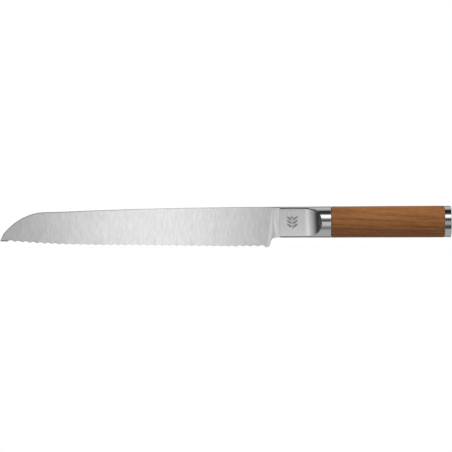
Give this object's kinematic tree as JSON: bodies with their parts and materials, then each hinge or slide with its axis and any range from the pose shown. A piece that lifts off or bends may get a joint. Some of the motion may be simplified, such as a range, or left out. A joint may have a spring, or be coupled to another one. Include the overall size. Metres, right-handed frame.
{
  "type": "bread knife",
  "caption": "Long serrated bread knife: satin steel blade, forged bolster with flats and scoops, round wooden handle and polished steel end cap, on a hidden tang and tie rod.",
  "frame": {"origin": "centre of the end cap's flat rear face, on the handle's axis", "axes": "+X along the handle's axis from the blade's tip to the butt, +Z from the cutting edge up to the spine, +Y from the blade's left face to its right face"},
  "size_m": [0.3709, 0.026, 0.0333],
  "materials": {
    "blade_steel": "satin, ground across the blade's length",
    "polished_steel": "mirror polished on the round, satin on the bolster's flats",
    "plain_steel": "as turned",
    "handle_wood": "oiled, fine straight grain along the handle",
    "dark_fibre": "matte",
    "cured_epoxy": "glossy, hidden",
    "seal_rubber": "matte, hidden"
  },
  "bodies": {
    "root": {"blade": "blade_steel", "bolster": "polished_steel", "front_gasket": "dark_fibre", "handle": "handle_wood", "adhesive_core": "cured_epoxy", "dowel_upper": "plain_steel", "dowel_lower": "plain_steel", "tie_rod": "plain_steel", "load_washer": "plain_steel", "disc_spring": "plain_steel", "tang_nut": "plain_steel", "cap_seal": "seal_rubber", "end_cap": "polished_steel"}
  },
  "joints": []
}
